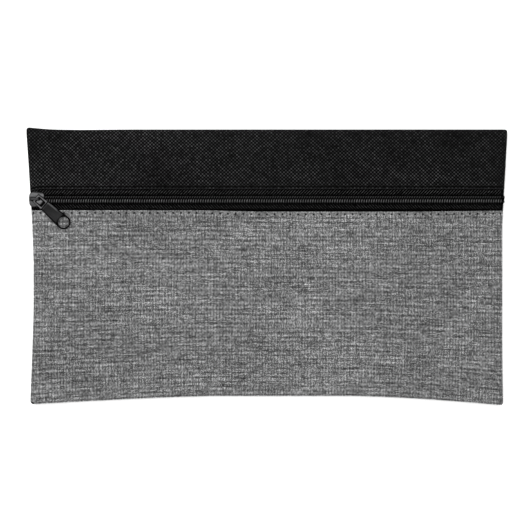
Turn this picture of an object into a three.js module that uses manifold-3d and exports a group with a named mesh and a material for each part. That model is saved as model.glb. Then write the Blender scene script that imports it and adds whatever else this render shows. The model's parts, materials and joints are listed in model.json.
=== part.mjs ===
// A flat zipped pencil case: a black cloth back folded over the top edge, a grey cloth front and a coil zipper.
// Millimetres. X runs along the zipper, Y up the case and Z out of its front; the case lies on its back on Z = 0.
import * as THREE from "three";
import { mergeVertices } from "three/addons/utils/BufferGeometryUtils.js";
import Module from "manifold-3d";

const wasm = await Module();
wasm.setup();

// The case's outline.
const TOP_HALF_LENGTH = 120.66;
const WAIST_HALF_LENGTH = 117.5;
const FOOT_HALF_LENGTH = 118.45;
const TOP_Y = 68.4;
const TOP_EAR = 1.04;
const TOP_EAR_WIDTH = 7;
const BOTTOM_MIDDLE_Y = -64.8;
const BOTTOM_CORNER_Y = -69.53;
const BOTTOM_FLAT_HALF = 38;

// The cloth and its seams.
const CLOTH = 0.65;
const EDGE_RADIUS = 1.3;
const SEAM_Z = 3.3;
const SEAM_GAP = 0.15;
const HEM_DEPTH = 8;
const SEAM_THREAD = 0.4;

// How far the front stands proud of its rolled edges.
const HEM_RISE = 1.7;
const HEM_RISE_RUN = 7;
const BELLY_RISE = 6;
const BELLY_RUN = 65;
const BAND_RISE = 0.8;
const BACK_DROP = 1.85;
const BACK_DROP_RUN = 24;

// The zipper: heights are of each layer's lower and upper face, widths are measured from its centre line.
const ZIP_Y = 33.2;
const UPPER_HEM_Y = 38.6;
const LOWER_HEM_Y = 28.2;
const TAPE_Z = [4.3, 4.9];
const TAPE_INNER = 1;
const TAPE_OUTER = 12.5;
const TAPE_END = 118.2;
const TAPE_HIDDEN_END = 110;
const COIL_Z = [4.95, 6.45];
const COIL_Y = [0.6, 2.4];
const COIL_END = [-118.2, 119.1];
const COIL_WALL = 0.3;
const CORD_GAP = 0.28;
const COIL_STITCH = { y: 1.5, width: 0.3, height: 0.15 };
const TOPSTITCH = { inset: 1.35, pitch: 3.9, width: 0.5, low: 0.15, high: 0.4, end: 109 };

// The slider: lengths are measured from its nose.
const NOSE_X = -118.7;
const SLIDER_LENGTH = 7.6;
const SHOULDER_X = 2.4;
const SHOULDER_HALF = 3.78;
const TAIL_HALF = 3.15;
const TAIL_ROUND = 0.7;
const CHANNEL_HALF = 2.75;
const UPPER_PLATE_Z = [6.8, 7.7];
const LOWER_PLATE_Z = [3.4, 4.1];
const LOWER_PLATE_NOSE = 3;
const FLANGE_Z = 5.2;
const POST = { from: 3.2, to: 6.2, half: 0.3 };
const BRIDGE = { from: 0.5, to: 5.5, foot: 0.7, half: 0.5, top: 9.7, under: 9.05 };

// The pull: lengths are measured from the middle of its head bar, which turns in the bridge.
const PULL_Z = [7.85, 8.85];
const PULL_ANGLE = THREE.MathUtils.degToRad(-41);
const PULL_BAR_HALF = 0.4;
const PULL_SIDE_SHIFT = 0.35;
const PULL_CROSSING_X = 3.6;
const PULL_HEAD_HALF = 2.2;
const PULL_WINDOW = { length: 4.4, half: 1.6 };
const PULL_RING = { x: 18, outer: 3.4, inner: 2.75 };
const PULL_GROOVE = { x: 5.4, width: 0.5, depth: 0.25 };
const PULL_RECESS = { from: 6.2, rim: 0.55, depth: 0.3 };

// The grids of the cloth bodies: how far in from an edge each line lies, in millimetres.
const EDGE_LINES = [0, 0.45 * EDGE_RADIUS, EDGE_RADIUS];
const SIDE_LINES = [...EDGE_LINES, 4, 8.5, 16, 26, 40, 60, 85];

const clamp = THREE.MathUtils.clamp;
const share = (from, to, value) => clamp((value - from) / (to - from), 0, 1);
const mean = (pair) => (pair[0] + pair[1]) / 2;

// Half the case's length at a height y, and its lower and upper edges at a place x.
function halfLength(y) {
  const foot = share(-45, BOTTOM_CORNER_Y, y) ** 2;
  const shoulder = share(15, TOP_Y, y);
  return (
    WAIST_HALF_LENGTH +
    (FOOT_HALF_LENGTH - WAIST_HALF_LENGTH) * foot +
    (TOP_HALF_LENGTH - WAIST_HALF_LENGTH) * shoulder
  );
}

function bottomY(x) {
  const out = share(BOTTOM_FLAT_HALF, FOOT_HALF_LENGTH, Math.abs(x));
  return BOTTOM_MIDDLE_Y + (BOTTOM_CORNER_Y - BOTTOM_MIDDLE_Y) * out ** 1.3;
}

function topY(x) {
  const fromCorner = (x + TOP_HALF_LENGTH) / TOP_EAR_WIDTH;
  return TOP_Y + TOP_EAR * Math.exp(-fromCorner * fromCorner);
}

// How far the cloth stands away from its rolled edge, at a distance `side` in from the nearer end of the case.
const bellyAcross = (side) => 1 - (1 - share(0, BELLY_RUN, side)) ** 2;
const hemAcross = (side) => Math.sin((Math.PI / 2) * share(0, HEM_RISE_RUN, side));

function frontRise(y, side) {
  const belowHem = share(LOWER_HEM_Y - HEM_DEPTH, BOTTOM_MIDDLE_Y, y);
  const belowStitch = share(LOWER_HEM_Y - HEM_DEPTH / 2, BOTTOM_MIDDLE_Y, y);
  const belly = (1 - Math.cos(2 * Math.PI * belowStitch)) / 2;
  return HEM_RISE * hemAcross(side) * (1 - belowHem) + BELLY_RISE * belly * bellyAcross(side);
}

function bandRise(y, side) {
  const up = share(UPPER_HEM_Y + HEM_DEPTH, TOP_Y - EDGE_RADIUS, y);
  return HEM_RISE * hemAcross(side) * (1 - up) + BAND_RISE * Math.sin(Math.PI * up) * bellyAcross(side);
}

function backDrop(y, side) {
  const inFromEnd = Math.min(side, y - bottomY(0), TOP_Y - y);
  return BACK_DROP * Math.sin((Math.PI / 2) * share(EDGE_RADIUS, BACK_DROP_RUN, inFromEnd));
}

// A point of a cloth body. `side` is +1 at the right end and -1 at the left, `inX` is how far in from that end the
// point lies, and `y` is its height. `overTop` and `overBottom` run from 0 to 1 round the roll at those edges. `face`
// is +1 for the front and -1 for the back, `rise` is its own function, and `radius` is EDGE_RADIUS on the outer face.
function clothPoint({ side, inX, y, overTop = 0, overBottom = 0, face, rise, radius }) {
  const roll = Math.max(overTop, overBottom);
  const acrossX = Math.max(0, 1 - inX / EDGE_RADIUS);
  const towardsEnd = acrossX * Math.sqrt(1 - (roll * roll) / 2);
  const towardsEdge = roll * Math.sqrt(1 - (acrossX * acrossX) / 2);
  const endX = halfLength(y) - Math.max(inX, EDGE_RADIUS);
  const x = side * (endX + radius * towardsEnd);
  let planY = y;
  if (overTop > 0) planY = topY(x) - EDGE_RADIUS + radius * towardsEdge;
  if (overBottom > 0) planY = bottomY(x) + EDGE_RADIUS - radius * towardsEdge;
  const height = Math.sqrt(Math.max(0, 1 - towardsEnd ** 2 - towardsEdge ** 2));
  const gap = SEAM_GAP * (1 - overTop);
  const offset = gap + radius * height + (roll > 0 ? 0 : rise(y, inX));
  return new THREE.Vector3(x, planY, SEAM_Z + face * offset);
}

// A closed body from a grid of outer points and the matching grid of inner points.
function closedSheet(outer, inner) {
  const rows = outer.length;
  const columns = outer[0].length;
  const positions = [outer, inner].flatMap((grid) => grid.flatMap((row) => row.flatMap((p) => p.toArray())));
  const index = [];
  const at = (row, column, layer) => (layer * rows + row) * columns + column;
  const quad = (a, b, c, d) => index.push(a, b, c, a, c, d);
  for (let r = 0; r + 1 < rows; r += 1) {
    for (let c = 0; c + 1 < columns; c += 1) {
      quad(at(r, c, 0), at(r, c + 1, 0), at(r + 1, c + 1, 0), at(r + 1, c, 0));
      quad(at(r, c, 1), at(r + 1, c, 1), at(r + 1, c + 1, 1), at(r, c + 1, 1));
    }
  }
  const rim = [];
  for (let c = 0; c + 1 < columns; c += 1) rim.push([0, c]);
  for (let r = 0; r + 1 < rows; r += 1) rim.push([r, columns - 1]);
  for (let c = columns - 1; c > 0; c -= 1) rim.push([rows - 1, c]);
  for (let r = rows - 1; r > 0; r -= 1) rim.push([r, 0]);
  rim.forEach(([r, c], i) => {
    const [nextR, nextC] = rim[(i + 1) % rim.length];
    quad(at(nextR, nextC, 0), at(r, c, 0), at(r, c, 1), at(nextR, nextC, 1));
  });
  const geometry = new THREE.BufferGeometry();
  geometry.setAttribute("position", new THREE.Float32BufferAttribute(positions, 3));
  geometry.setIndex(index);
  return geometry;
}

// The places across the case of one grid row, from the left end to the right.
function acrossPlaces() {
  const half = SIDE_LINES.map((inX) => ({ side: -1, inX }));
  const middle = { side: 1, inX: WAIST_HALF_LENGTH };
  return [...half, middle, ...half.map(({ inX }) => ({ side: 1, inX })).reverse()];
}

// A row of grid points, of the outer or the inner face. A hem is two layers thick, so its inner face is lower.
function clothRow(options, radius, lower = 0) {
  return acrossPlaces().map((place) => {
    const point = clothPoint({ ...options, ...place, radius });
    point.z -= lower * hemAcross(place.inX);
    return point;
  });
}

const sheetOf = (rows) =>
  closedSheet(
    rows.map((row) => clothRow(row, EDGE_RADIUS)),
    rows.map((row) => clothRow(row, EDGE_RADIUS - CLOTH, row.hem ? CLOTH : 0)),
  );

// A roll's rows, from the flat cloth to the edge.
const rollShares = EDGE_LINES.slice(0, -1).map((line) => 1 - line / EDGE_RADIUS);

function backAndTopPanel() {
  const front = { face: 1, rise: bandRise };
  const back = { face: -1, rise: backDrop };
  const hemEnd = UPPER_HEM_Y + HEM_DEPTH;
  const topLine = TOP_Y - EDGE_RADIUS;
  const bandRows = [UPPER_HEM_Y, mean([UPPER_HEM_Y, hemEnd]), hemEnd, hemEnd + 0.3, 56, 62, topLine];
  const backRows = [topLine, 62, 55, 45, 25, 0, -25, -42, -50, -57, -61, BOTTOM_MIDDLE_Y + EDGE_RADIUS];
  return sheetOf([
    ...bandRows.map((y) => ({ ...front, y, hem: y <= hemEnd })),
    ...rollShares.toReversed().map((overTop) => ({ ...front, y: topLine, overTop })),
    ...rollShares.slice(1).map((overTop) => ({ ...back, y: topLine, overTop })),
    ...backRows.map((y) => ({ ...back, y })),
    ...rollShares.toReversed().map((overBottom) => ({ ...back, y: BOTTOM_MIDDLE_Y + EDGE_RADIUS, overBottom })),
  ]);
}

function frontLowerPanel() {
  const front = { face: 1, rise: frontRise };
  const hemEnd = LOWER_HEM_Y - HEM_DEPTH;
  const rows = [LOWER_HEM_Y, mean([LOWER_HEM_Y, hemEnd]), hemEnd, hemEnd - 0.3, 12, 4, -6, -17, -29, -40, -50, -58];
  rows.push(BOTTOM_MIDDLE_Y + EDGE_RADIUS);
  return sheetOf(
    [
      ...rows.map((y) => ({ ...front, y, hem: y >= hemEnd })),
      ...rollShares.toReversed().map((overBottom) => ({ ...front, y: BOTTOM_MIDDLE_Y + EDGE_RADIUS, overBottom })),
    ].reverse(),
  );
}

// A box between two corners.
function box([x0, y0, z0], [x1, y1, z1]) {
  const geometry = new THREE.BoxGeometry(x1 - x0, y1 - y0, z1 - z0);
  return geometry.translate((x0 + x1) / 2, (y0 + y1) / 2, (z0 + z1) / 2);
}

// A box along the zipper, on the upper (+1) or lower (-1) side of its centre line.
function zipBox(side, [x0, x1], [y0, y1], [z0, z1]) {
  const a = ZIP_Y + side * y0;
  const b = ZIP_Y + side * y1;
  return box([x0, Math.min(a, b), z0], [x1, Math.max(a, b), z1]);
}

const extrude = (shape, [z0, z1], curveSegments = 6) =>
  new THREE.ExtrudeGeometry(shape, { depth: z1 - z0, bevelEnabled: false, curveSegments }).translate(0, 0, z0);

// Booleans.
function solid(geometry) {
  const bare = geometry.clone();
  bare.deleteAttribute("normal");
  bare.deleteAttribute("uv");
  const merged = mergeVertices(bare, 1e-4);
  const vertProperties = new Float32Array(merged.attributes.position.array);
  return new wasm.Manifold(new wasm.Mesh({ numProp: 3, vertProperties, triVerts: new Uint32Array(merged.index.array) }));
}

function geometryOf(body) {
  const mesh = body.getMesh();
  const geometry = new THREE.BufferGeometry();
  geometry.setAttribute("position", new THREE.BufferAttribute(new Float32Array(mesh.vertProperties), 3));
  geometry.setIndex(new THREE.BufferAttribute(new Uint32Array(mesh.triVerts), 1));
  return geometry;
}

// A tape runs the full length beside the coil, and its part under the hem stops short of the rolled ends.
function tape(side) {
  const hem = side > 0 ? UPPER_HEM_Y : LOWER_HEM_Y;
  const step = Math.abs(hem - ZIP_Y);
  const seen = zipBox(side, [-TAPE_END, TAPE_END], [TAPE_INNER, step], TAPE_Z);
  const hidden = zipBox(side, [-TAPE_HIDDEN_END, TAPE_HIDDEN_END], [TAPE_INNER, TAPE_OUTER], TAPE_Z);
  return geometryOf(solid(seen).add(solid(hidden)));
}

// A coil stands as a square tube round its filler cord.
const inset = ([a, b], by) => [a + by, b - by];

function coil(side) {
  const outside = zipBox(side, COIL_END, COIL_Y, COIL_Z);
  const inside = zipBox(side, inset(COIL_END, -1), inset(COIL_Y, COIL_WALL), inset(COIL_Z, COIL_WALL));
  return geometryOf(solid(outside).subtract(solid(inside)));
}

const fillerCord = (side) =>
  zipBox(side, inset(COIL_END, 0.5), inset(COIL_Y, COIL_WALL + CORD_GAP), inset(COIL_Z, COIL_WALL + CORD_GAP));

const coilStitch = (side) => {
  const across = [COIL_STITCH.y - COIL_STITCH.width / 2, COIL_STITCH.y + COIL_STITCH.width / 2];
  return zipBox(side, inset(COIL_END, 1), across, [COIL_Z[1] + 0.02, COIL_Z[1] + 0.02 + COIL_STITCH.height]);
};

// A row of stitches: one strand whose top rises over the middle of each stitch and dips between two.
function topstitch(y) {
  const base = SEAM_Z + SEAM_GAP + EDGE_RADIUS + HEM_RISE + 0.03;
  const count = Math.round((2 * TOPSTITCH.end) / TOPSTITCH.pitch);
  const places = Array.from({ length: 2 * count + 1 }, (_, i) => -TOPSTITCH.end + (i * TOPSTITCH.end) / count);
  const row = (offset, height) => places.map((x, i) => new THREE.Vector3(x, y + offset, base + height(i)));
  const top = (i) => (i % 2 ? TOPSTITCH.high : TOPSTITCH.low);
  const half = TOPSTITCH.width / 2;
  const flat = () => 0;
  return closedSheet([row(-half, top), row(half, top)], [row(-half, flat), row(half, flat)]);
}

// A seam's thread lies in the crease inside the rolled edge. `path` lists its middle in plan, and `across` is the
// direction, in plan, to its left.
function seamThread(path, across) {
  const half = SEAM_THREAD / 2;
  const low = SEAM_Z - 0.45;
  const line = (offset, z) => path.map(([x, y]) => new THREE.Vector3(x + across[0] * offset, y + across[1] * offset, z));
  return closedSheet(
    [line(-half, low + SEAM_THREAD), line(half, low + SEAM_THREAD)],
    [line(-half, low), line(half, low)],
  );
}

const THREAD_INSET = EDGE_RADIUS + 0.6;

function sideSeamThread(side) {
  const heights = [-64, -50, -30, 0, 15, 30, 42, 54, 66];
  const path = heights.map((y) => [side * (halfLength(y) - THREAD_INSET), y]);
  return seamThread(path, [-1, 0]);
}

function bottomSeamThread() {
  const places = [-114, -100, -80, -60, -BOTTOM_FLAT_HALF, BOTTOM_FLAT_HALF, 60, 80, 100, 114];
  return seamThread(places.map((x) => [x, bottomY(x) + THREAD_INSET]), [0, 1]);
}

// The slider's plan: round shoulders at the nose and a narrower tail.
function plateShape(nose) {
  const shape = new THREE.Shape();
  shape.moveTo(nose, -SHOULDER_HALF / 3);
  shape.quadraticCurveTo(nose, -SHOULDER_HALF, nose + SHOULDER_X, -SHOULDER_HALF);
  shape.lineTo(SLIDER_LENGTH - TAIL_ROUND, -TAIL_HALF);
  shape.quadraticCurveTo(SLIDER_LENGTH, -TAIL_HALF, SLIDER_LENGTH, TAIL_ROUND - TAIL_HALF);
  shape.lineTo(SLIDER_LENGTH, TAIL_HALF - TAIL_ROUND);
  shape.quadraticCurveTo(SLIDER_LENGTH, TAIL_HALF, SLIDER_LENGTH - TAIL_ROUND, TAIL_HALF);
  shape.lineTo(nose + SHOULDER_X, SHOULDER_HALF);
  shape.quadraticCurveTo(nose, SHOULDER_HALF, nose, SHOULDER_HALF / 3);
  return shape;
}

// The bridge's side view, drawn with its height along the shape's own Y: an arch on two feet.
function bridgeShape() {
  const foot = UPPER_PLATE_Z[1] - 0.3;
  const inner = [BRIDGE.from + BRIDGE.foot, BRIDGE.to - BRIDGE.foot];
  const round = 0.9;
  const shape = new THREE.Shape();
  shape.moveTo(BRIDGE.from, foot);
  shape.lineTo(BRIDGE.from, BRIDGE.top - round);
  shape.quadraticCurveTo(BRIDGE.from, BRIDGE.top, BRIDGE.from + round, BRIDGE.top);
  shape.lineTo(BRIDGE.to - round, BRIDGE.top);
  shape.quadraticCurveTo(BRIDGE.to, BRIDGE.top, BRIDGE.to, BRIDGE.top - round);
  shape.lineTo(BRIDGE.to, foot);
  shape.lineTo(inner[1], foot);
  shape.lineTo(inner[1], BRIDGE.under);
  shape.lineTo(inner[0], BRIDGE.under);
  shape.lineTo(inner[0], foot);
  return shape;
}

function slider() {
  const channel = box([-1, -CHANNEL_HALF, FLANGE_Z - 1], [SLIDER_LENGTH + 1, CHANNEL_HALF, UPPER_PLATE_Z[0]]);
  const cap = solid(extrude(plateShape(0), [FLANGE_Z, UPPER_PLATE_Z[1]])).subtract(solid(channel));
  const base = solid(extrude(plateShape(LOWER_PLATE_NOSE), LOWER_PLATE_Z));
  const post = solid(box([POST.from, -POST.half, mean(LOWER_PLATE_Z)], [POST.to, POST.half, mean(UPPER_PLATE_Z)]));
  const arch = extrude(bridgeShape(), [-BRIDGE.half, BRIDGE.half]).rotateX(Math.PI / 2);
  return geometryOf(cap.add(base).add(post).add(solid(arch)));
}

// The pull's plan: a square head that widens to a ring.
function pullShape(shrink, from, withHoles) {
  const shape = new THREE.Shape();
  const headHalf = PULL_HEAD_HALF - shrink;
  const ring = PULL_RING.outer - shrink;
  const lean = Math.asin((ring - headHalf) / (PULL_RING.x - from));
  const touch = [PULL_RING.x - ring * Math.sin(lean), ring * Math.cos(lean)];
  shape.moveTo(from, -headHalf);
  shape.lineTo(touch[0], -touch[1]);
  shape.absarc(PULL_RING.x, 0, ring, -Math.PI / 2 - lean, Math.PI / 2 + lean, false);
  shape.lineTo(from, headHalf);
  if (withHoles) {
    const window = new THREE.Path();
    const start = PULL_BAR_HALF;
    const end = PULL_BAR_HALF + PULL_WINDOW.length;
    window.moveTo(start, -PULL_WINDOW.half);
    window.lineTo(start, PULL_WINDOW.half);
    window.lineTo(end, PULL_WINDOW.half);
    window.lineTo(end, -PULL_WINDOW.half);
    const eye = new THREE.Path().absarc(PULL_RING.x, 0, PULL_RING.inner, 0, 2 * Math.PI, true);
    shape.holes.push(window, eye);
  }
  return shape;
}

function pull() {
  const thickness = PULL_Z[1] - PULL_Z[0];
  const faces = [-thickness / 2, thickness / 2];
  const blank = solid(extrude(pullShape(0, -PULL_BAR_HALF, true), faces, 16));
  const floor = [faces[1] - PULL_RECESS.depth, faces[1] + 1];
  const ring = new THREE.CylinderGeometry(PULL_RING.outer, PULL_RING.outer, 4, 32).rotateX(Math.PI / 2);
  const recess = solid(extrude(pullShape(PULL_RECESS.rim, PULL_RECESS.from, false), floor, 16)).subtract(
    solid(ring.translate(PULL_RING.x, 0, 0)),
  );
  const groove = box(
    [PULL_GROOVE.x - PULL_GROOVE.width / 2, -PULL_RING.outer, faces[1] - PULL_GROOVE.depth],
    [PULL_GROOVE.x + PULL_GROOVE.width / 2, PULL_RING.outer, faces[1] + 1],
  );
  return geometryOf(blank.subtract(recess).subtract(solid(groove)));
}

const finish = (color, roughness, metalness = 0) => new THREE.MeshStandardMaterial({ color, roughness, metalness });
const BLACK_CLOTH = finish(0x1f1f20, 0.9);
const GREY_CLOTH = finish(0x777778, 0.95);
const TAPE_CLOTH = finish(0x151516, 0.9);
const NYLON = finish(0x1c1c1d, 0.45);
const BLACK_THREAD = finish(0x101011, 0.8);
const GREY_THREAD = finish(0x6a6a6c, 0.8);
const GUNMETAL = finish(0x4a4a4d, 0.4, 0.9);

const pencilCase = new THREE.Group();

function add(name, geometry, material, parent = pencilCase) {
  const mesh = new THREE.Mesh(geometry, material);
  mesh.name = name;
  parent.add(mesh);
}

add("back_and_top_panel", backAndTopPanel(), BLACK_CLOTH);
add("front_lower_panel", frontLowerPanel(), GREY_CLOTH);
[
  ["upper", 1],
  ["lower", -1],
].forEach(([which, side]) => {
  add(`zipper_tape_${which}`, tape(side), TAPE_CLOTH);
  add(`zipper_coil_${which}`, coil(side), NYLON);
  add(`coil_filler_cord_${which}`, fillerCord(side), BLACK_THREAD);
  add(`coil_stitching_${which}`, coilStitch(side), BLACK_THREAD);
});
add("topstitch_upper", topstitch(UPPER_HEM_Y + TOPSTITCH.inset), BLACK_THREAD);
add("topstitch_lower", topstitch(LOWER_HEM_Y - TOPSTITCH.inset), GREY_THREAD);
add("side_seam_thread_left", sideSeamThread(-1), BLACK_THREAD);
add("side_seam_thread_right", sideSeamThread(1), BLACK_THREAD);
add("bottom_seam_thread", bottomSeamThread(), BLACK_THREAD);

const sliderGroup = new THREE.Group();
sliderGroup.position.set(NOSE_X, ZIP_Y, 0);
pencilCase.add(sliderGroup);
add("slider_body", slider(), GUNMETAL, sliderGroup);

// The pull hangs on the bridge off its own middle line, because it has slid along its head bar.
const pullGroup = new THREE.Group();
pullGroup.rotation.z = PULL_ANGLE;
pullGroup.position.set(PULL_CROSSING_X, 0, mean(PULL_Z));
pullGroup.translateY(PULL_SIDE_SHIFT);
sliderGroup.add(pullGroup);
add("pull_tab", pull(), GUNMETAL, pullGroup);

export default pencilCase;
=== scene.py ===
import json
import math

import bmesh
import bpy
import numpy as np
from mathutils import Matrix, Vector


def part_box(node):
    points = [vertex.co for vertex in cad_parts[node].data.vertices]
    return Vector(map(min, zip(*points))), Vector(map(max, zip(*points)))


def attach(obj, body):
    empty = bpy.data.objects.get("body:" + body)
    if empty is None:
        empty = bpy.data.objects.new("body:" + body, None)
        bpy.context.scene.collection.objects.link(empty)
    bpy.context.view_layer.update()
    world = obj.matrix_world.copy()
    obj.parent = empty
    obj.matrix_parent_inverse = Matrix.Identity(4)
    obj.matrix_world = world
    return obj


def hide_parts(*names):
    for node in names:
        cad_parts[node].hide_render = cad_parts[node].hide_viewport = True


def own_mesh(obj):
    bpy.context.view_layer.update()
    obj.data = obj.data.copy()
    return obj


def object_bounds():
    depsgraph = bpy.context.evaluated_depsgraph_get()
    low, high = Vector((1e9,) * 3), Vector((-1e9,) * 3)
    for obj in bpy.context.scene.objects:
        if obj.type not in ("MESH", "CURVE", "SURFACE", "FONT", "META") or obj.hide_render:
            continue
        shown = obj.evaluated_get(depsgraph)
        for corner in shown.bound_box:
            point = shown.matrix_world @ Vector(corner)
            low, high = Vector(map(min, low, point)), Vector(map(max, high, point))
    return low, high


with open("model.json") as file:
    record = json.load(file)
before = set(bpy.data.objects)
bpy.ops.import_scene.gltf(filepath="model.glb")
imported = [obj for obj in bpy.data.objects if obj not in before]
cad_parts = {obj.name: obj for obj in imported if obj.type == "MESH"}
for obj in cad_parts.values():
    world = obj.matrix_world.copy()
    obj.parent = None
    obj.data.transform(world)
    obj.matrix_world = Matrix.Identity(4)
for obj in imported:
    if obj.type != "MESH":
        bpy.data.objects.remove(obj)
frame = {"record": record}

# A flat zipped pencil case lying on its back, seen from straight above: a black oxford cloth back
# that folds over the top edge into a band, a grey heather front panel, and a black coil zipper.
# Lengths here are millimetres. They become metres only where a mesh, lamp or camera is made.
MM = 0.001
CAD_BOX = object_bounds()


def node_box(node):
    """A CAD node's lowest and highest corners, in millimetres."""
    return [np.array(corner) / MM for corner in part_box(node)]


def middle(node, axis):
    low, high = node_box(node)
    return (low[axis] + high[axis]) / 2


# Places and sizes that the frame gives.
SLIDER_LOW, SLIDER_HIGH = node_box("slider_body")
COIL_LOW, COIL_HIGH = node_box("zipper_coil_upper")
TAPE_HIGH = node_box("zipper_tape_upper")[1]
ZIP_Y = middle("slider_body", 1)
NOSE_X = SLIDER_LOW[0]
TOPSTITCH_INSET = 1.35
UPPER_STITCH_INSET = 1.05
STITCH_LENGTH = 0.84
STITCH_RADIUS = 0.17
SEAM_THREAD_INSET = 0.6
HEM_SETTLE = {"upper": 0.32, "lower": 0.45}
UPPER_HEM_Y = middle("topstitch_upper", 1) - TOPSTITCH_INSET - HEM_SETTLE["upper"]
LOWER_HEM_Y = middle("topstitch_lower", 1) + TOPSTITCH_INSET - HEM_SETTLE["lower"]
SEAM_Z = middle("side_seam_thread_left", 2)

# The pouch's outline. Its left and right ends differ a little, as sewn ends do.
TOP_HALF = 120.66
WAIST_LEFT = 117.1
WAIST_RIGHT = 118.1
FOOT_FLARE = {-1: 1.6, 1: 0.45}
FOOT_FLARE_Y = [-20, -68]
FOOT_POWER = {-1: 1.2, 1: 3}
SHOULDER_Y = {-1: [0, 66], 1: [20, 66]}
SHOULDER_POWER = {-1: 1.35, 1: 1}
TOP_Y = 68.4
TOP_EAR = 1.15
TOP_EAR_WIDTH = 10
TOP_DIP = {"x": -90, "width": 15, "depth": 0.2}
BOTTOM_Y = -65.35
BOTTOM_START = {-1: -25, 1: 40}
BOTTOM_DROP = {-1: 4.1, 1: 4.6}
BOTTOM_POWER = {-1: 1.35, 1: 1.6}

# The cloth and its rise over the seam's level.
CLOTH = 0.65
EDGE_RADIUS = 1.3
SEAM_GAP = 0.15
HEM_DEPTH = 8
HEM_SAG = 0.7
HEM_RISE = 1.7
HEM_RISE_RUN = 7
BELLY_RISE = 6
BELLY_RUN = 65
BAND_RISE = 0.8
BACK_DROP = 1.85
BACK_DROP_RUN = 24
ALLOWANCE = {"width": 4.6, "rise": 0.22}
STITCH_PITCH = 3.9
COLUMN_WIDTH = STITCH_PITCH / 4
ROW_WIDTH = 1.2
ROLL_STEPS = 5

# The zipper.
COIL_PITCH = 1.22
COIL_WIRE = 0.27
COIL_HEAD = -0.42
COIL_ROOT = 2.35
COIL_LEVEL = (COIL_LOW[2] + COIL_HIGH[2]) / 2
END_BEND = {-1: 2.3, 1: 1.4}
CHAIN_END = 118.3
TAPE_THICKNESS = 0.5
TAPE_INNER = 1.0
TAPE_HIDDEN = [5.4, 6.6]
TAPE_HIDDEN_END = 110
CORD = {"y": 1.25, "radius": 0.2}
COIL_STITCH = {"y": 0.75, "width": 0.75, "slant": 0.5, "radius": 0.14}
HALF_END = {"left": -1, "right": 1}
ZIP_GAPE = {"lean": 0.061, "keep": 0.75, "still": 2.5}

# The slider and its pull.
SLIDER_LENGTH = SLIDER_HIGH[0] - SLIDER_LOW[0]
SHOULDER_HALF = (SLIDER_HIGH[1] - SLIDER_LOW[1]) / 2
SHOULDER_X = 2.4
TAIL_HALF = 3.08
TAIL_ROUND = 0.8
PLATE_ROUND = 0.45
UPPER_PLATE_Z = [6.8, 7.7]
LOWER_PLATE_Z = [3.4, 4.1]
FLANGE_Z = 5.2
FLANGE_HALF = 0.32
LOWER_PLATE_NOSE = 3
POST = {"from": 3.2, "to": 6.2, "half": 0.3}
BRIDGE = {"from": 0.5, "to": 5.5, "half": 0.5, "thickness": 0.62, "top": 9.7, "corner": 1.1}
PULL_BAR_HALF = 0.4
PULL_HEAD_HALF = 2.2
PULL_THICKNESS = 1.0
PULL_BEVEL = 0.28
SMOOTH_ANGLE = 38
PULL_WINDOW = {"length": 4.4, "half": 1.6, "corner": 0.45}
PULL_RING = {"x": 18, "outer": 3.5, "inner": 2.75}
PULL_GROOVE = {"x": 5.4, "width": 0.5, "depth": 0.25}
PULL_RECESS = {"from": 6.2, "rim": 0.6, "depth": 0.28}

# The picture: the width of cloth level that the frame shows, and where its middle lies.
VIEW_WIDTH = 267
LENS = 100
SENSOR = 36
VIEW_SHIFT = [-0.43, -0.126]
FLOOR_HALF = 3000


def share(start, end, value):
    """How far value is from start to end, held between 0 and 1."""
    return np.clip((value - start) / (end - start), 0, 1)


def headings(path):
    """The unit direction along a path at each of its points."""
    ahead = np.gradient(path, axis=0)
    return ahead / np.linalg.norm(ahead, axis=1, keepdims=True)


def arc(centre, radius, start, end, count):
    """Points round a circle, from one angle to another."""
    turns = np.linspace(start, end, count)
    return [(centre[0] + radius * math.cos(t), centre[1] + radius * math.sin(t)) for t in turns]


def belongs(piece, body, node):
    """Which body a piece rides, which CAD piece it stands in for."""
    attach(piece, body)
    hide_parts(node)


# ---------------------------------------------------------------- meshes

def placed(name, data):
    """A new object in the scene."""
    piece = bpy.data.objects.new(name, data)
    bpy.context.scene.collection.objects.link(piece)
    return piece


def mesh_of(piece):
    """An object's mesh, with its modifiers or its curve worked out."""
    graph = bpy.context.evaluated_depsgraph_get()
    return bpy.data.meshes.new_from_object(piece.evaluated_get(graph))


def new_object(name, points, faces, material, uv=None):
    """A mesh object from points in millimetres, with UVs in metres of cloth where they are given."""
    mesh = bpy.data.meshes.new(name)
    mesh.from_pydata((np.asarray(points, float) * MM).tolist(), [], faces)
    if uv is not None:
        layer = mesh.uv_layers.new(name="cloth")
        corners = np.empty(len(mesh.loops), int)
        mesh.loops.foreach_get("vertex_index", corners)
        layer.data.foreach_set("uv", (np.asarray(uv, float) * MM)[corners].ravel())
    mesh.polygons.foreach_set("use_smooth", [True] * len(mesh.polygons))
    mesh.materials.append(material)
    mesh.validate()
    return placed(name, mesh)


def grid_faces(rows, columns, first=0, flip=False, around=False):
    """The four-sided faces of a grid of points; `around` joins its last column to its first."""
    faces = []
    for r in range(rows - 1):
        for c in range(columns if around else columns - 1):
            here = first + r * columns + c
            beside = first + r * columns + (c + 1) % columns
            quad = (here, beside, beside + columns, here + columns)
            faces.append(quad[::-1] if flip else quad)
    return faces


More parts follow.
